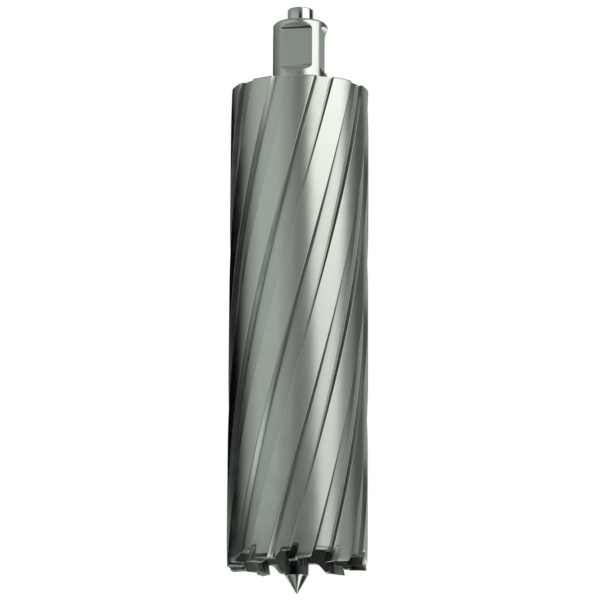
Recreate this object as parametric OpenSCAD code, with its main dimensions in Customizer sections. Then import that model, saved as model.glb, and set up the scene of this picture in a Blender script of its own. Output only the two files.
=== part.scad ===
// Carbide-tipped annular cutter: a hollow fluted barrel on a side-lock shank, with a sliding pilot pin.
// The axis is Z. The origin is the centre of the shoulder, where the shank meets the barrel, and the shank
// points up. Angles are counted about Z from -Y, the way the first shank flat faces, towards +X.

/* [Barrel] */
// Cutting diameter of the barrel
barrel_d = 48; // [40:0.5:70]
// Deepest cut, from the tooth tips to the roof of the core
cut_depth = 150; // [100:1:200]
// Solid web between the roof of the core and the shoulder
web = 17.5; // [12:0.5:25]
// Wall of the barrel, from the core to the lands
wall = 5; // [4:0.1:7]
// Chamfer between the wall and the roof of the core
core_chamfer = 2; // [0.5:0.1:4]
// Broken edge around the shoulder
shoulder_chamfer = 0.4; // [0.2:0.05:1]

/* [Flutes] */
// Number of flutes, and so of teeth, an even number because two gullets take turns
tooth_count = 10; // [6:2:12]
// Length of barrel in which a flute would go once around
flute_lead = 550; // [400:5:900]
// Width of a flute around the barrel, where it opens between two lands
flute_w = 7.2; // [4.5:0.05:8]
// Depth of a flute
flute_depth = 1.75; // [1:0.05:2.5]
// How far the back wall of a flute leans out, from its floor to the land
flute_lean = 1.3; // [0:0.05:2]
// Radius between the floor and the walls of a flute
flute_corner = 0.2; // [0.15:0.05:0.8]
// Angle from the first flat to the leading edge of the first tooth
first_tooth = 1.3; // [-18:0.1:18]

/* [Gullets] */
// Width of a wide gullet, where the steel of the teeth ends
wide_gullet_w = 7.8; // [6:0.1:8.5]
// Height of a wide gullet above the tooth tips
wide_gullet_h = 4.2; // [3.8:0.1:4.6]
// Width of a narrow gullet, where the steel of the teeth ends
narrow_gullet_w = 5.3; // [4.5:0.1:7]
// Height of a narrow gullet above the tooth tips
narrow_gullet_h = 3.6; // [3.3:0.1:4.4]
// Slope of the heel of the tooth in front
heel_angle = 57; // [45:1:70]
// Radius of the gullet roof beside the tip
roof_r = 1.2; // [0.6:0.1:1.5]
// Radius of the gullet roof above the heel
heel_r = 1.6; // [0.6:0.1:2]

/* [Carbide tips] */
// Thickness of a tip, front to back
tip_t = 2.4; // [1.8:0.1:4]
// Height of a tip
tip_h = 4.8; // [4.7:0.1:8]
// Radius of the upper corners of a tip
tip_r = 0.8; // [0.3:0.05:0.9]
// Slope of the end of a tip behind its cutting edge
tip_relief = 8; // [4:0.5:12]
// How far a tip stands out of the end of the barrel
tip_proud = 1; // [0.6:0.1:1.5]
// How far a tip stands out of the lands and into the core
tip_side = 0.15; // [0.1:0.05:0.4]
// How far the front of a tip lies behind the flute
tip_setback = 0.4; // [0.35:0.05:1]
// Film of braze around a tip
braze = 0.05; // [0.03:0.01:0.1]

/* [Shank] */
// Diameter of the shank
shank_d = 19.05; // [19.05:0.01:32]
// Length of the shank above the shoulder
shank_l = 24.5; // [24:0.1:60]
// Chamfer at the top of the shank
shank_chamfer = 0.8; // [0.4:0.1:1.5]
// Depth of the two flats
flat_depth = 1.75; // [1.2:0.05:1.9]
// Length of a flat, end to end
flat_l = 16.6; // [12:0.1:17]
// From the top of the shank to a flat
flat_top = 1.9; // [1.6:0.1:5]
// Radius at the ends of a flat
flat_end_r = 2; // [2:0.1:4]

/* [Pilot pin] */
// Diameter of the pin
pin_d = 7.98; // [6:0.01:8]
// Room around the pin in its bore
pin_clearance = 0.035; // [0.02:0.005:0.08]
// Diameter of the pin's head
head_d = 9; // [8.6:0.1:12]
// Height of the pin's head
head_h = 5.4; // [3:0.1:8]
// Chamfer of the pin's head
head_chamfer = 0.4; // [0.2:0.05:0.8]
// From the tooth tips to the end of the pin's straight part
pin_lead = 2.5; // [1.5:0.1:8]
// Angle of the point
point_angle = 64; // [50:1:90]
// Diameter of the blunt end of the point
point_flat = 0.4; // [0.2:0.05:0.8]

/* [Hidden] */
$fn = 96;
// Steps along a flute, across its floor and around each of its corners
flute_slices = 26;
floor_steps = 3;
corner_steps = 2;
// Steps around each corner of a gullet or a tip
arc_steps = 6;
// How far a cut reaches past the surface that it opens
through = 1;

barrel_r = barrel_d / 2;
barrel_l = cut_depth + web;
core_r = barrel_r - wall;
shank_r = shank_d / 2;
bore_r = pin_d / 2 + pin_clearance;
floor_r = barrel_r - flute_depth;
helix = atan(PI * barrel_d / flute_lead);
tooth_pitch = 360 / tooth_count;

function tip_name(i) = str("carbide_tip_", i < 9 ? "0" : "", i + 1);

function polar(r, a) = [r * cos(a), r * sin(a)];

// Angle that a length spans around a circle.
function span(length, r) = length / r * 180 / PI;

// Round corner of a flute's floor, around a centre at the angle a, between two directions.
function floor_corner(a, from, to) = [
    for (i = [0 : corner_steps])
        polar(floor_r + flute_corner, a) + polar(flute_corner, a + from + (to - from) * i / corner_steps)
];

// Section of a flute across the barrel: a radial front wall at angle 0, the floor, and a back wall that leans.
function flute_section() =
    let (
        lean = atan(flute_lean / flute_depth),
        floor_w = span(flute_w - flute_lean, barrel_r),
        back = span(flute_corner * tan(45 - lean / 2), floor_r) - floor_w,
        front = -span(flute_corner, floor_r),
        outside = barrel_r + through,
        outside_w = floor_w + span((flute_depth + through) * tan(lean), barrel_r)
    )
    concat(
        [polar(outside, -outside_w)],
        floor_corner(back, -90 - lean, -180),
        [for (i = [1 : floor_steps - 1]) polar(floor_r, -floor_w + floor_w * i / floor_steps)],
        floor_corner(front, 180, 90),
        [polar(outside, 0)]
    );

// Moves what is drawn at the -Y side to tooth i, with its leading edge at the height of the tooth tips.
module at_tooth(i) {
    rotate(first_tooth + i * tooth_pitch - 90)
        translate([0, 0, -barrel_l])
            children();
}

// Pushes an outline through the wall of the barrel: its x runs around the barrel and its y along the axis.
module through_wall() {
    rotate([90, 0, 90])
        translate([0, 0, core_r - through])
            linear_extrude(wall + 2 * through)
                children();
}

module flute(i) {
    length = barrel_l + 2 * through;
    at_tooth(i)
        rotate(-through * 360 / flute_lead)
            translate([0, 0, -through])
                linear_extrude(length, twist = -length * 360 / flute_lead, slices = flute_slices, segments = 1)
                    polygon(flute_section());
}

// Points of an arc around a centre, between two directions.
function arc(centre, r, from, to) = [
    for (i = [0 : arc_steps])
        centre + polar(r, from + (to - from) * i / arc_steps)
];

// Outline of a gullet: the leading side at x = 0, a roof with two rounded ends, and the sloped heel.
module gullet_outline(w, h) {
    heel_x = -w - tip_proud / tan(heel_angle);
    roof_x = heel_x + h / tan(heel_angle) + heel_r * tan(heel_angle / 2);
    polygon(concat(
        [[0, -through]],
        arc([-roof_r, h - roof_r], roof_r, 0, 90),
        arc([roof_x, h - heel_r], heel_r, 90, 90 + heel_angle),
        [[heel_x - through / tan(heel_angle), -through]]
    ));
}

module gullet(i) {
    at_tooth(i)
        through_wall()
            translate([tip_setback, 0])
                rotate(-helix)
                    if (i % 2 == 0)
                        gullet_outline(narrow_gullet_w, narrow_gullet_h);
                    else
                        gullet_outline(wide_gullet_w, wide_gullet_h);
}

// Upright outline with two round upper corners, its lower edge far below the tooth tips.
module tip_outline(w, h, r) {
    polygon(concat(
        [[w, -tip_h]],
        arc([w - r, h - r], r, 0, 90),
        arc([r, h - r], r, 90, 180),
        [[0, -tip_h]]
    ));
}

module tip_seat(i) {
    at_tooth(i)
        through_wall()
            translate([tip_setback, 0])
                rotate(-helix)
                    translate([-braze, 0])
                        tip_outline(tip_t + 2 * braze, tip_h + braze, tip_r + braze);
}

// Cutter for a shank flat that faces the given angle, with concave ends.
module shank_flat(angle) {
    inset = sqrt(flat_end_r * flat_end_r - pow(flat_end_r - flat_depth, 2));
    top = shank_l - flat_top - inset;
    bottom = shank_l - flat_top - flat_l + inset;
    rotate(angle - 90)
        rotate([90, 0, 0])
            linear_extrude(shank_d, center = true)
                translate([shank_r - flat_depth, 0]) {
                    translate([0, bottom])
                        square([flat_depth + through, top - bottom]);
                    for (y = [bottom, top])
                        translate([flat_end_r, y])
                            circle(flat_end_r);
                }
}

// The turned blank: shank, shoulder, barrel, core and pin bore.
module blank() {
    barrel_end = tip_proud - barrel_l;
    rotate_extrude()
        polygon([
            [bore_r, shank_l],
            [shank_r - shank_chamfer, shank_l],
            [shank_r, shank_l - shank_chamfer],
            [shank_r, 0],
            [barrel_r - shoulder_chamfer, 0],
            [barrel_r, -shoulder_chamfer],
            [barrel_r, barrel_end],
            [core_r, barrel_end],
            [core_r, -web - core_chamfer],
            [core_r - core_chamfer, -web],
            [bore_r, -web]
        ]);
}

// Turned from one bar of tool steel, then fluted, gashed and ground.
module cutter_body() {
    color("#a3aca4")
        difference() {
            blank();
            for (i = [0 : tooth_count - 1]) {
                flute(i);
                gullet(i);
                tip_seat(i);
            }
            shank_flat(0);
            shank_flat(90);
        }
}

// Brazed at the front of its tooth, where it stands a little proud on all three cutting sides.
module carbide_tip(i) {
    color("#4b504d")
        intersection() {
            at_tooth(i)
                through_wall()
                    intersection() {
                        translate([tip_setback, 0])
                            rotate(-helix)
                                tip_outline(tip_t, tip_h, tip_r);
                        translate([tip_setback, 0])
                            rotate(tip_relief)
                                translate([-tip_h, 0])
                                    square([3 * tip_h, 2 * tip_h]);
                    }
            translate([0, 0, -barrel_l - through])
                difference() {
                    cylinder(2 * tip_h + through, r = barrel_r + tip_side);
                    translate([0, 0, -through])
                        cylinder(2 * tip_h + 3 * through, r = core_r - tip_side);
                }
        }
}

// Slides in the shank. Its head stops it on top of the shank, with the point ahead of the teeth.
module pilot_pin() {
    pin_r = pin_d / 2;
    head_r = head_d / 2;
    straight_end = -barrel_l - pin_lead;
    point_l = (pin_d - point_flat) / 2 / tan(point_angle / 2);
    color("#c9cdc8")
        rotate_extrude()
            polygon([
                [0, shank_l + head_h],
                [head_r - head_chamfer, shank_l + head_h],
                [head_r, shank_l + head_h - head_chamfer],
                [head_r, shank_l],
                [pin_r, shank_l],
                [pin_r, straight_end],
                [point_flat / 2, straight_end - point_l],
                [0, straight_end - point_l]
            ]);
}

cutter_body();
pilot_pin();
for (i = [0 : tooth_count - 1])
    carbide_tip(i);
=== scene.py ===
import math

import bmesh
import bpy
from mathutils import Matrix, Vector


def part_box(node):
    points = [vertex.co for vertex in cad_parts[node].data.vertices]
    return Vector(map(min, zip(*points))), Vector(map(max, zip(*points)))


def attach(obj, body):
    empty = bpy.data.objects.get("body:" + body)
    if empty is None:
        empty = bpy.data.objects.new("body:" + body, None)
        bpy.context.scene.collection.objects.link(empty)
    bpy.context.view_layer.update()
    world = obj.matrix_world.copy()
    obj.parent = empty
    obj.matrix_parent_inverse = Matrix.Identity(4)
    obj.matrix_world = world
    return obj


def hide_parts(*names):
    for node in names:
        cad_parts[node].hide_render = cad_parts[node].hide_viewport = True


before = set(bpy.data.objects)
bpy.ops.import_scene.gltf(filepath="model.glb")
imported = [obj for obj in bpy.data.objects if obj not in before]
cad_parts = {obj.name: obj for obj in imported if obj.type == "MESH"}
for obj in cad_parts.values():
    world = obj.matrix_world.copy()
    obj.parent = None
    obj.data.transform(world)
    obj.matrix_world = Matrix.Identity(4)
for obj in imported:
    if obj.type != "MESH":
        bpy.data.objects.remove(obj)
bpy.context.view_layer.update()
scene = bpy.context.scene
scene.view_settings.view_transform = "Standard"

# Barrel of the cutter: the lower part of one bar of tool steel, bored out to a tube, with ten helical flutes
# milled along it and ground. At its open end the gullets are gashed through the wall in two sizes that take
# turns, and each tooth has a parallel-sided seat for its carbide tip.
MM = 0.001
body_low, body_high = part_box("cutter_body")

barrel_r = body_high[0]
core_r = barrel_r - 5.0 * MM
tip_proud = 1.0 * MM
tooth_plane = body_low[2] - tip_proud
web = 17.5 * MM
core_chamfer = 2.0 * MM
shoulder_chamfer = 0.4 * MM
bore_r = 4.025 * MM

tooth_count = 10
tooth_pitch = math.tau / tooth_count
first_tooth = math.radians(1.3)
flute_lead = 550 * MM
flute_width = 7.2 * MM
flute_depth = 1.75 * MM
flute_lean = 1.3 * MM
flute_corner = 0.2 * MM
floor_r = barrel_r - flute_depth
back_round = 0.25 * MM
edge_break = 0.08 * MM
# Painted shade: grey levels that darken the flute's walls, its corners, the floor beside them and the front
# wall, where shade falls.
wall_painted_shade = [(0.5 * MM, 0.0), (0.9 * MM, 0.0), (1.25 * MM, 0.15)]
wall_foot_painted_shade = 0.4
corner_painted_shade = 0.5
corner_slant_shade = 0.6
floor_painted_shade = [(0.3 * MM, 0.15), (0.7 * MM, 0.1), (1.1 * MM, 0.04), (1.6 * MM, 0.0)]
front_margin = 0.8 * MM
front_shade_start = 0.35 * MM
front_painted_shade = 0.1
# Painted shade in the bored core, on the gullets and on the ends of the teeth.
core_painted_shade = 0.7
gullet_painted_shade = 0.65

tip_setback = 0.4 * MM
tip_thickness = 2.4 * MM
tip_height = 4.8 * MM
tip_corner = 0.8 * MM
braze_film = 0.05 * MM
heel_slope = math.radians(57)
roof_corner = 1.2 * MM
heel_corner = 1.6 * MM
gullets = [
    {"width": 5.3 * MM, "height": 3.6 * MM},
    {"width": 7.8 * MM, "height": 4.2 * MM},
]
heat_reach = 4.5 * MM
heat_height = 8 * MM


def steps(low, high, count):
    return [low + (high - low) * i / count for i in range(count + 1)]


def flute_profile():
    """(angle, radius, painted shade, slant shade) across one flute, from the leaning back wall to the radial
    front wall.
    The painted shade darkens the corners, the walls and the edges where shade falls, and the slant shade is
    painted shade on the back wall that shows where the wall is seen at a slant."""
    lean = math.atan(flute_lean / flute_depth)
    turn = math.pi / 2 - lean
    points = []

    def add(around, depth, painted_shade, slant_shade=0.0):
        points.append((around / barrel_r, barrel_r - depth, painted_shade, slant_shade))

    round_start = -flute_width - back_round * math.tan(turn / 2)
    for t in steps(0, turn, 4):
        add(round_start + back_round * math.sin(t), back_round * (1 - math.cos(t)), 0.0, t / turn)
    corner_start = flute_depth - flute_corner * math.tan(turn / 2) * math.cos(lean)
    for depth, painted_shade in wall_painted_shade + [(corner_start, wall_foot_painted_shade)]:
        add(-flute_width + depth * math.tan(lean), depth, painted_shade, 1.0)
    floor_start = flute_lean - flute_width + flute_corner * math.tan(turn / 2)
    for t in steps(turn / 2, 0, 1):
        depth = flute_depth - flute_corner * (1 - math.cos(t))
        add(floor_start - flute_corner * math.sin(t), depth, corner_painted_shade, corner_slant_shade)
    for reach, painted_shade in floor_painted_shade:
        add(floor_start + reach, flute_depth, painted_shade)
    clean_start = floor_start + floor_painted_shade[-1][0]
    floor_end = -flute_corner * barrel_r / floor_r
    for around in steps(clean_start, floor_end - front_margin, 6)[1:]:
        add(around, flute_depth, 0.0)
    add(floor_end - front_shade_start, flute_depth, front_painted_shade)
    for t in steps(0, math.pi / 2, 3):
        reach = flute_corner * (1 - math.sin(t)) * barrel_r / floor_r
        add(-reach, flute_depth - flute_corner * (1 - math.cos(t)), math.sin(t))
    for t in steps(math.pi / 2, 0, 2):
        add(edge_break * (1 - math.sin(t)), edge_break * (1 - math.cos(t)), math.sin(t))
    return points


def roof_start(gullet):
    """Where the gullet's flat roof begins, past the round corner of its heel."""
    heel_x = -gullet["width"] - tip_proud / math.tan(heel_slope)
    return heel_x + gullet["height"] / math.tan(heel_slope) + heel_corner * math.tan(heel_slope / 2)


def gullet_edge(x, gullet):
    """Height of the gullet's outline above the tooth tips, x being counted from the front of the tip."""
    width, height = gullet["width"], gullet["height"]
    roof_x = roof_start(gullet)
    if x <= -width:
        return tip_proud
    if x <= roof_x - heel_corner * math.sin(heel_slope):
        return tip_proud + (x + width) * math.tan(heel_slope)
    if x <= roof_x:
        return height - heel_corner + math.sqrt(heel_corner**2 - (x - roof_x) ** 2)
    if x <= -roof_corner:
        return height
    return height - roof_corner + math.sqrt(max(0, roof_corner**2 - (x + roof_corner) ** 2))


def gullet_stations(gullet):
    """Places along the gullet's outline where a column of the mesh has to stand."""
    roof_x = roof_start(gullet)
    heel_arc = [roof_x - heel_corner * math.sin(t) for t in steps(heel_slope, 0, 5)]
    roof_arc = [roof_corner * (math.sin(t) - 1) for t in steps(0, math.radians(70), 4)]
    return [-gullet["width"]] + heel_arc + roof_arc


def seat_edge(x):
    """Height of the seat's roof above the tooth tips, x being counted from the front of the tip."""
    corner = tip_corner + braze_film
    top = tip_height + braze_film
    inset = min(x + braze_film, tip_thickness + braze_film - x)
    if inset >= corner:
        return top
    return top - corner + math.sqrt(max(0, corner**2 - (corner - inset) ** 2))


def seat_stations():
    """Places along the seat's outline where a column of the mesh has to stand."""
    corner = tip_corner + braze_film
    low, high = -braze_film, tip_thickness + braze_film
    turn = [corner * (1 - math.cos(t)) for t in steps(0, math.pi / 2, 4)]
    return [low + t for t in turn] + [high - t for t in reversed(turn)]


def tooth_columns(gullet):
    """Columns of the mesh for one tooth: outer angle and radius, inner angle, lower end, then the masks for
    flute, heat, wear with a painted highlight, painted shade and slant shade, which is painted shade at a
    slant."""
    zone_low, zone_high = -7.6 * MM, 3.4 * MM
    sliver = 0.02 * MM
    edge_zone = -1 * MM
    same_place = 1e-7
    land_count = 6
    seat_front = tip_setback - braze_film
    seat_back = tip_setback + tip_thickness + braze_film
    profile = flute_profile()
    trace = [(r * math.sin(a), a, r, painted_shade, slant_shade) for a, r, painted_shade, slant_shade in profile]
    trace.insert(0, (zone_low, math.asin(zone_low / barrel_r), barrel_r, 0.0, 0.0))
    trace.append((zone_high, math.asin(zone_high / barrel_r), barrel_r, 0.0, 0.0))

    def on_surface(u):
        for low, high in zip(trace, trace[1:]):
            if low[0] <= u <= high[0] and high[0] > low[0]:
                share = (u - low[0]) / (high[0] - low[0])
                return tuple(a + (b - a) * share for a, b in zip(low, high))
        raise ValueError("no place on the barrel for this column")

    behind_seat = [point for point in trace if point[0] < seat_front]
    stations = [(point, gullet_edge(point[0] - tip_setback, gullet)) for point in behind_seat]
    for x in gullet_stations(gullet):
        stations.append((on_surface(x + tip_setback), gullet_edge(x, gullet)))
    stations.sort(key=lambda s: (s[0][0], s[0][1], s[0][2]))
    stations.append((on_surface(seat_front - sliver), gullet_edge(-braze_film, gullet)))
    for x in seat_stations():
        stations.append((on_surface(x + tip_setback), seat_edge(x)))
    stations.append((on_surface(seat_back + sliver), tip_proud))
    stations.append((trace[-1], tip_proud))

    columns = []
    for (u, angle, r, painted_shade, slant_shade), low in stations:
        if columns and max(abs(columns[-1][0] - angle), abs(columns[-1][1] - r)) < same_place:
            continue
        in_flute = 1.0 if r < barrel_r - edge_break * 0.6 else 0.0
        heat = max(0.0, 1 - abs(u - tip_setback - tip_thickness / 2) / heat_reach)
        # The leading edge is lightened: partly edge wear, partly a painted highlight.
        leading_edge = u > edge_zone and barrel_r - 1.2 * edge_break < r < barrel_r - 0.05 * edge_break
        wear_and_highlight = 1.0 if leading_edge else 0.0
        columns.append((angle, r, math.asin(u / core_r), low, in_flute, heat, wear_and_highlight, painted_shade, slant_shade))
    first, last = columns[0], columns[-1]
    for i in range(1, land_count):
        share = i / land_count
        angle = last[0] + (first[0] + tooth_pitch - last[0]) * share
        inner = last[2] + (first[2] + tooth_pitch - last[2]) * share
        columns.append((angle, barrel_r, inner, tip_proud, 0.0, 0.0, 0.0, 0.0, 0.0))
    return columns


def at(angle, r, z):
    """A point at an angle counted from -Y towards +X."""
    return (r * math.sin(angle), -r * math.cos(angle), z)


def turned_with_lead(height):
    return height * math.tau / flute_lead


def wrapped(name, verts, rows):
    """A closed skin from columns of points that stand around the axis, each column being a closed loop."""
    count = len(verts) // rows
    faces = []
    for c in range(count):
        here = c * rows
        there = (c + 1) % count * rows
        for k in range(rows):
            up = (k + 1) % rows
            faces.append((here + k, there + k, there + up, here + up))
    mesh = bpy.data.meshes.new(name)
    mesh.from_pydata(verts, [], faces)
    return mesh


def barrel_mesh():
    """The fluted tube as one closed skin, with its finish and painted light (flute, worn edge with painted
    highlight, heat, painted shade) and its painted slant shade.
    """
    barrel_l = -tooth_plane
    roof = barrel_l - web
    core_top = roof - core_chamfer
    common = 9.0 * MM
    outer_rows = steps(common, barrel_l - shoulder_chamfer, 60)[1:]
    inner_rows = steps(common, core_top, 16)[1:]
    shoulder_rings = (21.6 * MM, 16 * MM, 10.5 * MM, bore_r)
    roof_turn = turned_with_lead(core_top) - turned_with_lead(roof)
    bore_turn = turned_with_lead(barrel_l) - turned_with_lead(roof)
    columns = []
    for tooth in range(tooth_count):
        turn = first_tooth + tooth * tooth_pitch
        for angle, r, inner, low, *finish_and_shade in tooth_columns(gullets[tooth % 2]):
            columns.append((angle + turn, r, inner + turn, low, *finish_and_shade))
    verts = []
    masks = []
    slant_shades = []
    for angle, r, inner, low, flute, heat, wear_and_highlight, painted_shade, slant_shade in columns:

        def add(a, radius, height, edge, zone, dark=0.0, shade_at_slant=0.0):
            verts.append(at(a + turned_with_lead(height), radius, tooth_plane + height))
            warm = heat * max(0.0, 1 - (height - tip_proud) / heat_height)
            masks.append((zone, edge, warm, dark))
            slant_shades.append(shade_at_slant)

        # The bore, the gullets and the ends of the teeth are darkened with painted shade.
        add(inner + roof_turn, core_r - core_chamfer, roof, 0.0, 0.0, core_painted_shade)
        for height in reversed(steps(low + edge_break, common, 4) + inner_rows):
            add(inner, core_r, height, 0.0, 0.0, core_painted_shade)
        add(inner, core_r + edge_break, low, 0.0, 0.5, gullet_painted_shade)
        for share in (0.33, 0.67):
            across = inner + (angle - inner) * share
            add(across, core_r + (r - core_r) * share, low, 0.0, 0.5, gullet_painted_shade)
        # The lower and upper edges are lightened: partly edge wear, partly a painted highlight.
        add(angle, r - edge_break, low, 0.3, 0.5, gullet_painted_shade)
        add(angle, r - 0.3 * edge_break, low + 0.3 * edge_break, 1.0, flute)
        for height in steps(low + edge_break, common, 5) + outer_rows:
            add(angle, r, height, wear_and_highlight, flute, painted_shade, slant_shade)
        add(angle, min(r, barrel_r - shoulder_chamfer), barrel_l, 1.0, 0.5)
        for radius in shoulder_rings:
            add(angle, radius, barrel_l, 0.0, 0.0)
        add(angle + bore_turn, bore_r, roof, 0.0, 0.0)
    mesh = wrapped("barrel", verts, len(verts) // len(columns))
    layer = mesh.attributes.new("finish_and_shade", "FLOAT_COLOR", "POINT")
    layer.data.foreach_set("color", [value for mask in masks for value in mask])
    layer = mesh.attributes.new("slant_shade", "FLOAT", "POINT")
    layer.data.foreach_set("value", slant_shades)
    return mesh


# Shank of the cutter: the upper part of the same bar, ground to fit a side-lock spindle. Two flats with
# concave ends are milled at right angles for the spindle's screws, and the pilot pin runs in its bore.
shank_r = 9.525 * MM
shank_l = body_high[2]
shank_chamfer = 0.8 * MM
shank_edge = 0.16 * MM
shank_foot = -1 * MM
foot_ring = 0.5 * MM
top_ring = 0.3 * MM
flat_depth = 1.75 * MM
flat_top = 1.9 * MM
flat_length = 16.6 * MM
flat_end_r = 2.0 * MM
flat_area = 40 * MM**2
flat_rim = 0.12 * MM


def lathe(name, outline, segments):
    """A closed (radius, height) outline turned about Z."""
    turns = [math.tau * s / segments for s in range(segments)]
    verts = [at(turn, r, z) for turn in turns for r, z in outline]
    return wrapped(name, verts, len(outline))


def flat_cutter(name, facing):
    """The milling cutter's sweep for one flat: a straight floor between two concave ends."""
    floor_x = shank_r - flat_depth
    overcut = 1 * MM
    outside = shank_r + overcut
    inset = math.sqrt(flat_end_r**2 - (flat_end_r - flat_depth) ** 2)
    top = shank_l - flat_top - inset
    bottom = shank_l - flat_top - flat_length + inset
    reach = math.acos((flat_end_r - flat_depth - overcut) / flat_end_r)
    arc = steps(0, reach, 12)
    upper = [(floor_x + flat_end_r * (1 - math.cos(t)), top + flat_end_r * math.sin(t)) for t in arc]
    lower = [(x, bottom + top - z) for x, z in reversed(upper)]
    outline = [(outside, lower[0][1])] + lower + upper + [(outside, upper[-1][1])]
    half = shank_r * 1.1
    turn = Matrix.Rotation(facing - math.pi / 2, 3, "Z")
    verts = [turn @ Vector((x, side * half, z)) for side in (-1, 1) for x, z in outline]
    count = len(outline)
    faces = [tuple(range(count - 1, -1, -1)), tuple(range(count, 2 * count))]
    for k in range(count):
        up = (k + 1) % count
        faces.append((k, up, count + up, count + k))
    mesh = bpy.data.meshes.new(name)
    mesh.from_pydata([tuple(v) for v in verts], [], faces)
    return bpy.data.objects.new(name, mesh)


def applied(obj):
    """The object's mesh with its modifiers worked in."""
    scene.collection.objects.link(obj)
    shaped = obj.evaluated_get(bpy.context.evaluated_depsgraph_get())
    mesh = bpy.data.meshes.new_from_object(shaped)
    scene.collection.objects.unlink(obj)
    return mesh


def break_edges(obj, width, angle):
    bevel = obj.modifiers.new("broken edges", "BEVEL")
    bevel.width = width
    bevel.segments = 2
    bevel.limit_method = "ANGLE"
    bevel.angle_limit = math.radians(angle)


def keep_flats_even(mesh):
    """A narrow rim of its own around each flat, so that the broken edges do not bend the flat's shading."""
    shape = bmesh.new()
    shape.from_mesh(mesh)
    flats = [face for face in shape.faces if face.calc_area() > flat_area]
    bmesh.ops.inset_region(shape, faces=flats, thickness=flat_rim, use_even_offset=True)
    shape.to_mesh(mesh)
    shape.free()


def shank_mesh():
    """The shank with both flats milled. A ring near each end of its side keeps the shading straight."""
    side_top = shank_l - shank_chamfer
    outline = [
        (bore_r, shank_foot),
        (shank_r, shank_foot),
        (shank_r, shank_foot + foot_ring),
        (shank_r, side_top - top_ring),
        (shank_r, side_top),
        (shank_r - shank_chamfer, shank_l),
        (bore_r, shank_l),
    ]
    shank = bpy.data.objects.new("shank", lathe("shank", outline, 144))
    cutters = [flat_cutter("first flat", 0), flat_cutter("second flat", math.pi / 2)]
    for cutter in cutters:
        scene.collection.objects.link(cutter)
        cut = shank.modifiers.new(cutter.name, "BOOLEAN")
        cut.operation = "DIFFERENCE"
        cut.object = cutter
    break_edges(shank, shank_edge, 24)
    mesh = applied(shank)
    for cutter in cutters:
        bpy.data.objects.remove(cutter)
    keep_flats_even(mesh)
    layer = mesh.attributes.new("finish_and_shade", "FLOAT_COLOR", "POINT")
    layer.data.foreach_set("color", [0.0] * 4 * len(mesh.vertices))
    mesh.attributes.new("slant_shade", "FLOAT", "POINT")
    return mesh


def smooth_by_angle(mesh, angle):
    mesh.shade_smooth()
    mesh.set_sharp_from_angle(angle=math.radians(angle))


def new_group(name, inputs, outputs):
    """An empty shader node group with its sockets, each given as (name, type, default)."""
    tree = bpy.data.node_groups.new(name, "ShaderNodeTree")
    for label, kind, default in inputs:
        socket = tree.interface.new_socket(label, in_out="INPUT", socket_type="NodeSocket" + kind)
        if default is not None:
            socket.default_value = default
    for label, kind in outputs:
        tree.interface.new_socket(label, in_out="OUTPUT", socket_type="NodeSocket" + kind)
    tree.nodes.new("NodeGroupInput")
    tree.nodes.new("NodeGroupOutput")
    return tree


def feed(tree, socket, source):
    """Links an output socket to the input socket, or sets a plain value on it."""
    if isinstance(source, bpy.types.NodeSocket):
        tree.links.new(source, socket)
    else:
        socket.default_value = source


def put(tree, kind, links=(), **settings):
    """A node with its settings and its inputs, each given as (input, output socket or plain value)."""
    node = tree.nodes.new("ShaderNode" + kind)
    for key, value in settings.items():
        setattr(node, key, value)
    for key, source in links:
        feed(tree, node.inputs[key], source)
    return node


def calc(tree, operation, *values):
    """The result of one Math node."""
    return put(tree, "Math", list(enumerate(values)), operation=operation).outputs[0]


def remap(tree, value, low, high, at_low=0.0, at_high=1.0):
    """The value carried from the range low to high over to the range at_low to at_high, and held there."""
    ends = [("From Min", low), ("From Max", high), ("To Min", at_low), ("To Max", at_high)]
    return put(tree, "MapRange", [("Value", value)] + ends).outputs[0]


def stretched(tree, place, factors):
    return put(tree, "VectorMath", [(0, place), (1, factors)], operation="MULTIPLY").outputs[0]


def grinding_marks_group():
    """Fine parallel strokes of a grinding wheel. The strokes run along X of the place that is given in mm."""
    tree = new_group(
        "grinding marks",
        [("Place", "Vector", None), ("Lines per mm", "Float", 6.0), ("Stroke per mm", "Float", 0.06)],
        [("Marks", "Float"), ("Bands", "Float")],
    )
    source = tree.nodes["Group Input"].outputs
    result = tree.nodes["Group Output"].inputs
    per_mm = [("X", source["Stroke per mm"]), ("Y", source["Lines per mm"]), ("Z", 1.0)]
    fine_place = stretched(tree, source["Place"], put(tree, "CombineXYZ", per_mm).outputs[0])
    fine = put(tree, "TexNoise", [("Vector", fine_place), ("Scale", 1.0), ("Detail", 3.0)])
    wide_place = stretched(tree, fine_place, (0.4, 0.12, 1.0))
    wide = put(tree, "TexNoise", [("Vector", wide_place), ("Scale", 1.0), ("Detail", 2.0)])
    feed(tree, result["Marks"], fine.outputs["Fac"])
    feed(tree, result["Bands"], wide.outputs["Fac"])
    return tree


def handling_group():
    """Faint films of oil and finger smears on bare metal, as a mask from clean to smeared."""
    tree = new_group(
        "handling",
        [("Place", "Vector", None), ("Smear size", "Float", 9.0)],
        [("Smear", "Float")],
    )
    source = tree.nodes["Group Input"].outputs
    result = tree.nodes["Group Output"].inputs
    scale = calc(tree, "DIVIDE", 1.0, source["Smear size"])
    noise = put(
        tree, "TexNoise",
        [("Vector", source["Place"]), ("Scale", scale), ("Detail", 4.0), ("Roughness", 0.6)],
    )
    mask = put(
        tree, "MapRange",
        [("Value", noise.outputs["Fac"]), ("From Min", 0.42), ("From Max", 0.68)],
        interpolation_type="SMOOTHSTEP",
    )
    feed(tree, result["Smear"], mask.outputs[0])
    return tree


grinding_marks = grinding_marks_group()
handling = handling_group()


def new_material(name):
    material = bpy.data.materials.new(name)
    material.use_nodes = True
    material.node_tree.nodes.clear()
    return material, material.node_tree


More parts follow.
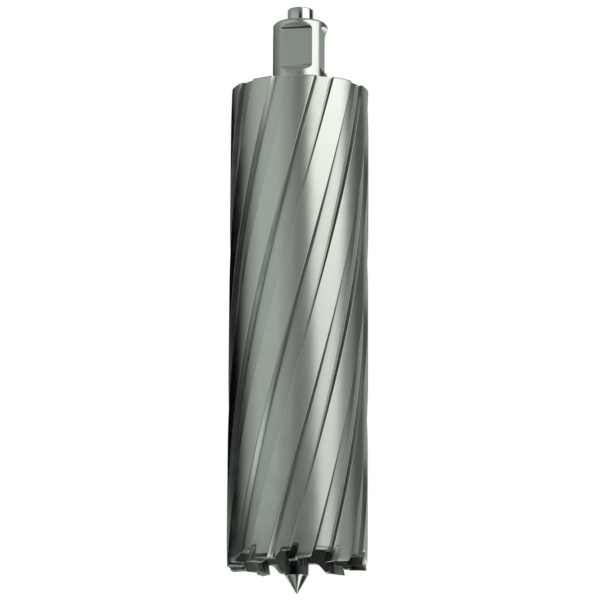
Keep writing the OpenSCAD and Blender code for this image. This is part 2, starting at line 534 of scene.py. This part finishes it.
def millimetres(tree):
    """The place on the piece in mm, in the frame."""
    place = put(tree, "TexCoord").outputs["Object"]
    return put(tree, "VectorMath", [(0, place), ("Scale", 1 / MM)], operation="SCALE").outputs[0]


def around_and_along(tree, place, radius_mm, lean):
    """(around, along the axis) in mm, for strokes that run around. With a lean it is (along, around), for
    strokes that follow the flutes."""
    xyz = put(tree, "SeparateXYZ", [(0, place)]).outputs
    around = calc(tree, "MULTIPLY", calc(tree, "ARCTAN2", xyz["X"], xyz["Y"]), radius_mm)
    if lean:
        slant = calc(tree, "MULTIPLY_ADD", xyz["Z"], lean, around)
        return put(tree, "CombineXYZ", [("X", xyz["Z"]), ("Y", slant)]).outputs[0]
    return put(tree, "CombineXYZ", [("X", around), ("Y", xyz["Z"])]).outputs[0]


def use_group(tree, group, links):
    return put(tree, "Group", links, node_tree=group).outputs


def blended(tree, share, a, b, kind="FLOAT"):
    """a where the share is 0 and b where it is 1."""
    node = put(tree, "Mix", data_type=kind)
    sockets = [s for s in node.inputs if s.enabled]
    for socket, source in zip(sockets, (share, a, b)):
        feed(tree, socket, source)
    return next(s for s in node.outputs if s.enabled)


def metal_surface(tree, colour, metallic, rough, relief, strength):
    """The material's surface: a metal with the fine relief that is given as a height."""
    bump = put(tree, "Bump", [("Height", relief), ("Strength", strength), ("Distance", 0.02 * MM)])
    metal = put(
        tree, "BsdfPrincipled",
        [("Base Color", colour), ("Metallic", metallic), ("Roughness", rough), ("Normal", bump.outputs[0])],
    )
    put(tree, "OutputMaterial", [("Surface", metal.outputs[0])])


def ground_tool_steel():
    """Satin tool steel: lands ground around, flutes milled along, leading edges lighter with wear and a
    painted highlight, flute corners, walls and edges darkened with painted shade and the back walls more so
    where they are seen at a slant, seats warm from brazing, and the bored core dull with scale and darkened
    with painted shade."""
    material, tree = new_material("ground_tool_steel")
    finish_and_shade = put(tree, "Attribute", attribute_name="finish_and_shade").outputs
    mask = put(tree, "SeparateColor", [(0, finish_and_shade["Color"])]).outputs
    flute, edge, heat, painted_shade = mask["Red"], mask["Green"], mask["Blue"], finish_and_shade["Alpha"]
    slant_shade = put(tree, "Attribute", attribute_name="slant_shade").outputs["Fac"]
    place = millimetres(tree)

    around = around_and_along(tree, place, barrel_r / MM, 0)
    along = around_and_along(tree, place, barrel_r / MM, math.tau * barrel_r / flute_lead)
    round_marks = use_group(tree, grinding_marks, [("Place", around)])
    long_marks = use_group(tree, grinding_marks, [("Place", along), ("Lines per mm", 5.0)])
    marks = blended(tree, flute, round_marks["Marks"], long_marks["Marks"])
    bands = blended(tree, flute, round_marks["Bands"], long_marks["Bands"])
    smear = use_group(tree, handling, [("Place", place)])["Smear"]

    ground = blended(tree, bands, (0.765, 0.805, 0.755, 1), (0.80, 0.835, 0.785, 1), "RGBA")
    # Lighter edges: partly wear, partly a painted highlight.
    worn_and_highlit = blended(tree, edge, ground, (0.88, 0.90, 0.87, 1), "RGBA")
    warmed = blended(tree, calc(tree, "MULTIPLY", heat, 0.55), worn_and_highlit, (0.42, 0.33, 0.25, 1), "RGBA")
    milled = blended(tree, flute, warmed, (0.735, 0.77, 0.725, 1), "RGBA")
    # Painted shade by facing: the back wall's colour darkens where the wall is seen at a slant.
    slanted = remap(tree, put(tree, "LayerWeight").outputs["Facing"], 0.33, 0.62)
    darkness = calc(tree, "MAXIMUM", painted_shade, calc(tree, "MULTIPLY", slant_shade, slanted))
    # Where the painted shade or the slant shade lies, the colour is darkened towards a dark grey: painted
    # shade.
    colour = blended(tree, darkness, milled, (0.22, 0.235, 0.215, 1), "RGBA")

    spot = put(tree, "SeparateXYZ", [(0, place)]).outputs
    outward = calc(tree, "MULTIPLY_ADD", spot["Y"], spot["Y"], calc(tree, "MULTIPLY", spot["X"], spot["X"]))
    within_core = calc(tree, "LESS_THAN", outward, (core_r / MM + 0.05) ** 2)
    below_shoulder = calc(tree, "LESS_THAN", spot["Z"], -1.0)
    bored = calc(tree, "MULTIPLY", within_core, below_shoulder)
    rough = remap(tree, marks, 0.3, 0.7, 0.17, 0.21)
    for share, extra in ((smear, 0.04), (flute, 0.04), (slant_shade, -0.03), (bored, 0.32)):
        rough = calc(tree, "MULTIPLY_ADD", share, extra, rough)
    bare = calc(tree, "MULTIPLY_ADD", bored, -0.12, 1.0)
    metal_surface(tree, colour, bare, rough, marks, 0.04)
    return material


def cutter_body_piece():
    whole = bmesh.new()
    for mesh in (barrel_mesh(), shank_mesh()):
        whole.from_mesh(mesh)
    bmesh.ops.recalc_face_normals(whole, faces=whole.faces)
    mesh = bpy.data.meshes.new("cutter_body_ground")
    whole.to_mesh(mesh)
    whole.free()
    smooth_by_angle(mesh, 32)
    mesh.materials.append(ground_tool_steel())
    return bpy.data.objects.new("cutter_body_ground", mesh)


body = cutter_body_piece()
scene.collection.objects.link(body)
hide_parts("cutter_body")
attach(body, "cutter")

# Carbide tips: ten sintered blanks with round upper corners, brazed into the seats of the teeth and then
# ground with a diamond wheel, so that they stand a little proud of the end, the lands and the core.
tip_relief = math.radians(8)
tip_side = 0.15 * MM
tip_edge = 0.06 * MM


def tip_point(turn, u, height, r):
    """A place in a tooth's parallel-sided seat, which follows the lead of the flutes."""
    return at(turn + math.asin(u / r) + turned_with_lead(height), r, tooth_plane + height)


def tip_outline():
    """(place across the seat, height above the tooth tips) around one tip."""
    front, back = tip_setback, tip_setback + tip_thickness
    turn = steps(0, math.pi / 2, 5)
    shoulder = tip_height - tip_corner
    front_arc = [(front + tip_corner * (1 - math.cos(t)), shoulder + tip_corner * math.sin(t)) for t in turn]
    back_arc = [(front + back - u, height) for u, height in reversed(front_arc)]
    return [(front, 0)] + front_arc + back_arc + [(back, tip_thickness * math.tan(tip_relief))]


def tip_mesh(name, turn):
    outline = tip_outline()
    radii = steps(core_r - tip_side, barrel_r + tip_side, 4)
    count = len(outline)
    verts = [tip_point(turn, u, height, r) for r in radii for u, height in outline]
    faces = [tuple(range(count)), tuple(range(len(verts) - 1, len(verts) - count - 1, -1))]
    for ring in range(len(radii) - 1):
        low = ring * count
        for k in range(count):
            up = (k + 1) % count
            faces.append((low + k, low + count + k, low + count + up, low + up))
    mesh = bpy.data.meshes.new(name)
    mesh.from_pydata(verts, [], faces)
    return mesh


def ground_carbide():
    """Sintered carbide: fine-grained, with the short crossed strokes of a diamond wheel. Its colour is
    painted by
    the facing: painted shade makes a face seen square on nearly black, and a painted reflection makes a face
    seen at a slant grey."""
    material, tree = new_material("ground_carbide")
    place = millimetres(tree)
    wheel = [("Place", place), ("Lines per mm", 14.0), ("Stroke per mm", 0.8)]
    strokes = use_group(tree, grinding_marks, wheel)
    marks, bands = strokes["Marks"], strokes["Bands"]
    smear = use_group(tree, handling, [("Place", place), ("Smear size", 2.5)])["Smear"]
    grain = put(tree, "TexNoise", [("Vector", place), ("Scale", 22.0), ("Detail", 2.0)]).outputs["Fac"]
    # Painted shade and painted reflection: nearly black where a face is seen square on, grey at a slant.
    shaded_square_on = blended(tree, bands, (0.03, 0.032, 0.031, 1), (0.06, 0.063, 0.06, 1), "RGBA")
    sheen_at_slant = blended(tree, bands, (0.40, 0.42, 0.39, 1), (0.52, 0.54, 0.51, 1), "RGBA")
    slant = remap(tree, put(tree, "LayerWeight").outputs["Facing"], 0.06, 0.20)
    painted_facing_tone = blended(tree, slant, shaded_square_on, sheen_at_slant, "RGBA")
    colour = blended(tree, calc(tree, "MULTIPLY", smear, 0.4), painted_facing_tone, (0.065, 0.056, 0.046, 1), "RGBA")
    rough = remap(tree, marks, 0.3, 0.7, 0.26, 0.40)
    metal_surface(tree, colour, 1.0, rough, calc(tree, "MULTIPLY_ADD", grain, 0.5, marks), 0.15)
    return material


carbide = ground_carbide()
for tooth in range(tooth_count):
    number = f"{tooth + 1:02d}"
    blank = bpy.data.objects.new("tip_blank", tip_mesh("tip_blank", first_tooth + tooth * tooth_pitch))
    break_edges(blank, tip_edge, 40)
    mesh = applied(blank)
    mesh.name = "carbide_tip_ground_" + number
    smooth_by_angle(mesh, 25)
    mesh.materials.append(carbide)
    tip = bpy.data.objects.new(mesh.name, mesh)
    scene.collection.objects.link(tip)
    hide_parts("carbide_tip_" + number)
    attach(tip, "cutter")

# Pilot pin: a hardened steel rod that slides in the shank, polished at both ends and darkened along its
# length with painted shade.
# Its head stops it on top of the shank, and its point reaches past the teeth to find the punch mark and later
# to push out the slug.
pin_low, pin_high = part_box("pilot_pin")
pin_r = 3.99 * MM
head_r = pin_high[0]
head_chamfer = 0.4 * MM
point_angle = math.radians(64)
point_flat_r = 0.2 * MM
straight_end = pin_low[2] + (pin_r - point_flat_r) / math.tan(point_angle / 2)


def pin_outline():
    """(radius, height) from the point up to the middle of the head, with small rounds at its edges."""
    blend = 0.5 * MM
    soft = 0.12 * MM
    tip, top = pin_low[2], pin_high[2]
    chamfer_low = top - head_chamfer
    cone_sin, cone_cos = math.sin(point_angle / 2), math.cos(point_angle / 2)
    outline = [
        (0, tip),
        (point_flat_r * 0.7, tip + 0.01 * MM),
        (point_flat_r, tip + 0.06 * MM),
        (pin_r - blend * cone_sin, straight_end - blend * cone_cos),
        (pin_r - 0.25 * blend * cone_sin, straight_end - 0.15 * blend * cone_cos),
        (pin_r, straight_end + blend * 0.6),
    ]
    outline += [(pin_r, z) for z in steps(straight_end, shank_l, 12)[1:]]
    outline += [
        (head_r - soft, shank_l),
        (head_r, shank_l + soft),
        (head_r, chamfer_low - soft),
        (head_r - soft * 0.4, chamfer_low + soft * 0.6),
        (head_r - head_chamfer + soft * 0.6, top - soft * 0.4),
        (head_r - head_chamfer - soft, top),
        (head_r * 0.5, top),
        (0, top),
    ]
    return outline


def polished_pin_steel():
    """Hardened rod, ground between centres, with fine rings around it: polished bright at head and point, and
    darkened between them with painted shade."""
    material, tree = new_material("polished_pin_steel")
    place = millimetres(tree)
    around = around_and_along(tree, place, pin_r / MM, 0)
    rings = use_group(tree, grinding_marks, [("Place", around), ("Lines per mm", 9.0)])
    smear = use_group(tree, handling, [("Place", place), ("Smear size", 6.0)])["Smear"]
    bright = blended(tree, rings["Bands"], (0.80, 0.82, 0.80, 1), (0.88, 0.89, 0.87, 1), "RGBA")
    # Painted shade: the rod between head and point is darkened.
    painted_rod_shade = blended(tree, smear, (0.21, 0.22, 0.21, 1), (0.26, 0.27, 0.255, 1), "RGBA")
    height = put(tree, "SeparateXYZ", [(0, place)]).outputs["Z"]
    rod_low, rod_high = straight_end / MM, shank_l / MM
    above_point = remap(tree, height, rod_low - 0.1, rod_low + 0.15)
    below_head = remap(tree, height, rod_high, rod_high - 0.3)
    rod = calc(tree, "MULTIPLY", above_point, below_head)
    colour = blended(tree, rod, bright, painted_rod_shade, "RGBA")
    rough = remap(tree, rings["Marks"], 0.3, 0.7, 0.06, 0.11)
    for share, extra in ((smear, 0.05), (rod, 0.04)):
        rough = calc(tree, "MULTIPLY_ADD", share, extra, rough)
    metal_surface(tree, colour, 1.0, rough, rings["Marks"], 0.05)
    return material


def pilot_pin_piece():
    whole = bmesh.new()
    whole.from_mesh(lathe("pilot_pin_polished", pin_outline(), 96))
    bmesh.ops.remove_doubles(whole, verts=whole.verts, dist=0.002 * MM)
    bmesh.ops.recalc_face_normals(whole, faces=whole.faces)
    mesh = bpy.data.meshes.new("pilot_pin_polished")
    whole.to_mesh(mesh)
    whole.free()
    smooth_by_angle(mesh, 33)
    mesh.materials.append(polished_pin_steel())
    return bpy.data.objects.new("pilot_pin_polished", mesh)


pin = pilot_pin_piece()
scene.collection.objects.link(pin)
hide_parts("pilot_pin")
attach(pin, "pilot")

# Studio: a pale floor, seen only from above, and a closed paper tent that shows only in the metal. The tent
# is lit in soft upright bands that change with height, and one large window stands at the camera's right.
camera_side = math.radians(9.6)
floor_z = pin_low[2] - 0.5 * MM
floor_size = 4
tent_r = 0.9
tent_low, tent_high = -2.4, 0.75
paper_tint = (0.945, 1.035, 0.95)
deep_bands = [
    (-180, 0.40), (-145, 0.30), (-125, 0.03), (-87, 0.13), (-50, 0.30), (-34, 0.34), (-22, 0.20), (-12, 0.05),
    (17, 0.05), (27, 1.0), (60, 1.0), (73, 0.10), (84, 0.03), (125, 0.03), (142, 0.30), (180, 0.40),
]
low_table_bands = [
    (-180, 0.55), (-150, 0.80), (-125, 0.40), (-105, 0.25), (-75, 0.25), (-50, 0.05), (-10, 0.04), (7, 0.12),
    (20, 0.35), (34, 0.85), (52, 0.85), (66, 0.40), (95, 0.30), (112, 0.15), (135, 0.50), (155, 0.85),
    (180, 0.55),
]
high_table_bands = [
    (-180, 0.0), (-146, 0.0), (-125, 0.20), (-105, 0.12), (-75, 0.05), (-50, 0.0), (-14, 0.01), (7, 0.06),
    (20, 0.10), (40, 0.15), (60, 0.20), (80, 0.30), (95, 0.30), (115, 0.10), (135, 0.70), (150, 1.10),
    (180, 0.60),
]
main_bands = [
    (-180, 0.0), (-118, 0.0), (-112, 0.03), (-105, 0.085), (-90, 0.27), (-68, 0.44), (-34, 0.44), (-26, 0.35),
    (-12, 0.31), (-4, 0.215), (70, 0.215), (80, 0.265), (90, 0.25), (99, 0.185), (108, 0.095), (131, 0.08),
    (146, 0.31), (158, 0.34), (168, 0.04), (180, 0.0),
]
shank_bands = [
    (-180, 0.0), (-150, 0.0), (-136, 0.20), (-120, 0.24), (-94, 0.33), (-74, 0.44), (-34, 0.44), (-26, 0.34),
    (-12, 0.31), (-4, 0.215), (16, 0.265), (100, 0.265), (112, 0.10), (124, 0.10), (138, 0.31), (160, 0.31),
    (180, 0.22),
]
head_bands = [
    (-180, 0.24), (-120, 0.24), (-94, 0.33), (-74, 0.44), (-34, 0.44), (-24, 0.36), (-17, 0.30), (-13, 0.03),
    (10, 0.03), (16, 0.265), (88, 0.265), (98, 0.02), (125, 0.02), (140, 0.31), (160, 0.31), (180, 0.24),
]
roof_bands = [(-180, 0.24), (0, 0.24), (180, 0.24)]
# Each tier takes over from the one below it between two heights in m. A band is (degrees, grey level).
tent_tiers = [
    (-0.60, -0.45, low_table_bands), (-0.325, -0.30, high_table_bands), (-0.09, -0.045, main_bands),
    (0.226, 0.240, shank_bands), (0.28, 0.292, head_bands), (0.40, 0.55, roof_bands),
]
window_levels = [
    (-0.10, 1.2), (-0.07, 1.0), (-0.045, 0.66), (0.02, 0.76), (0.12, 0.84), (0.17, 1.0), (0.21, 1.2),
    (0.30, 1.25),
]
window_colour = (1.0, 1.01, 0.965)
window_heights = (-0.21, 0.26)
window_left = (49.5, 10.0)
window_right = (52.5, 87.5)
window_soft = (6.0, 9.0)
window_sill = (-0.12, -0.085)
lintel_heights = (0.27, 0.29)
lintel_step = 10.0


def floor_material():
    """Matt pale paint, clear from below so that the floor does not hide the object from a low camera."""
    material, tree = new_material("pale_floor")
    paint = put(tree, "BsdfPrincipled", [("Base Color", (0.85, 0.85, 0.85, 1)), ("Roughness", 0.7)])
    clear = put(tree, "BsdfTransparent")
    below = put(tree, "NewGeometry").outputs["Backfacing"]
    sides = put(tree, "MixShader", [(0, below), (1, paint.outputs[0]), (2, clear.outputs[0])])
    put(tree, "OutputMaterial", [("Surface", sides.outputs[0])])
    return material


def ramp_of(tree, value, low, high, stops):
    """A colour ramp over the range from low to high, its stops given as (value, colour)."""
    ramp = put(tree, "ValToRGB", [(0, remap(tree, value, low, high))])
    elements = ramp.color_ramp.elements
    while len(elements) < len(stops):
        elements.new(0.5)
    for element, (place, colour) in zip(elements, stops):
        element.position = (place - low) / (high - low)
        element.color = (*colour, 1)
    return ramp.outputs[0]


def between(tree, value, low, high, low_soft, high_soft):
    """1 where the value lies between low and high, with soft ends."""
    above = remap(tree, calc(tree, "SUBTRACT", value, low), -low_soft, low_soft)
    below = remap(tree, calc(tree, "SUBTRACT", high, value), -high_soft, high_soft)
    return calc(tree, "MULTIPLY", above, below)


def tent_material():
    """Paper lit in upright bands, and over them one large window whose sides close in towards the floor."""
    material, tree = new_material("tent_paper")
    xyz = put(tree, "SeparateXYZ", [(0, put(tree, "TexCoord").outputs["Object"])]).outputs
    height = xyz["Z"]
    forward = calc(tree, "MULTIPLY", xyz["Y"], -1.0)
    angle = calc(tree, "DEGREES", calc(tree, "ARCTAN2", xyz["X"], forward))

    def bands_of(levels):
        stops = [(degrees, tuple(level * c for c in paper_tint)) for degrees, level in levels]
        return ramp_of(tree, angle, -180, 180, stops)

    paper = bands_of(deep_bands)
    for low, high, levels in tent_tiers:
        paper = blended(tree, remap(tree, height, low, high), paper, bands_of(levels), "RGBA")
    slant = remap(tree, height, *window_heights, *window_left)
    left = calc(tree, "ADD", slant, remap(tree, height, *lintel_heights, 0.0, lintel_step))
    right = remap(tree, height, *window_heights, *window_right)
    opening = between(tree, angle, left, right, *window_soft)
    window = calc(tree, "MULTIPLY", opening, remap(tree, height, *window_sill))
    stops = [(z, tuple(level * c for c in window_colour)) for z, level in window_levels]
    daylight = ramp_of(tree, height, window_levels[0][0], window_levels[-1][0], stops)
    glow = put(tree, "Emission", [("Color", blended(tree, window, paper, daylight, "RGBA"))])
    put(tree, "OutputMaterial", [("Surface", glow.outputs[0])])
    return material


def studio_floor():
    centre = (0, 0, floor_z)
    bpy.ops.mesh.primitive_circle_add(vertices=96, radius=floor_size, fill_type="NGON", location=centre)
    floor = bpy.context.object
    floor.name = "studio_floor"
    floor.visible_glossy = False
    floor.data.materials.append(floor_material())


def studio_tent():
    segments = 96
    turns = [math.tau * s / segments for s in range(segments)]
    verts = [at(turn, tent_r, z) for turn in turns for z in (tent_low, tent_high)]
    faces = [tuple(range(0, 2 * segments, 2)), tuple(range(1, 2 * segments, 2))]
    for s in range(segments):
        here, there = 2 * s, 2 * ((s + 1) % segments)
        faces.append((here, there, there + 1, here + 1))
    mesh = bpy.data.meshes.new("studio_tent")
    mesh.from_pydata(verts, [], faces)
    mesh.materials.append(tent_material())
    tent = bpy.data.objects.new("studio_tent", mesh)
    tent.rotation_euler = (0, 0, camera_side)
    tent.visible_camera = False
    tent.visible_diffuse = False
    tent.visible_shadow = False
    scene.collection.objects.link(tent)


def studio_world():
    world = bpy.data.worlds.new("studio")
    world.use_nodes = True
    tree = world.node_tree
    tree.nodes.clear()
    sky = put(tree, "Background", [("Color", (1, 1, 1, 1)), ("Strength", 1.0)])
    put(tree, "OutputWorld", [("Surface", sky.outputs[0])])
    scene.world = world


studio_floor()
studio_tent()
studio_world()

# Camera: a long lens, low in front of the object and looking up at it. Its place was fitted to the outlines
# of head, shank, shoulder, barrel, teeth and point.
camera_distance = 1.212
camera_below = math.radians(11.8)
camera_roll = math.radians(0.355)
aim_height = -74.19 * MM
aim_right = 0.46 * MM
focal_px = 3509
image_px = 600


def photo_camera():
    lens = bpy.data.cameras.new("photo_camera")
    lens.sensor_width = 36
    lens.lens = focal_px / image_px * lens.sensor_width
    lens.clip_start = 0.01
    lens.clip_end = 50
    back = Vector((
        math.sin(camera_side) * math.cos(camera_below),
        -math.cos(camera_side) * math.cos(camera_below),
        -math.sin(camera_below),
    ))
    level = Vector((math.cos(camera_side), math.sin(camera_side), 0))
    up = back.cross(level)
    right = level * math.cos(camera_roll) + up * math.sin(camera_roll)
    above = back.cross(right)
    aim = Vector((0, 0, aim_height)) + level * aim_right
    camera = bpy.data.objects.new("photo_camera", lens)
    turn = Matrix((right, above, back)).transposed().to_4x4()
    camera.matrix_world = Matrix.Translation(aim + back * camera_distance) @ turn
    scene.collection.objects.link(camera)
    scene.camera = camera


photo_camera()

bpy.context.view_layer.update()
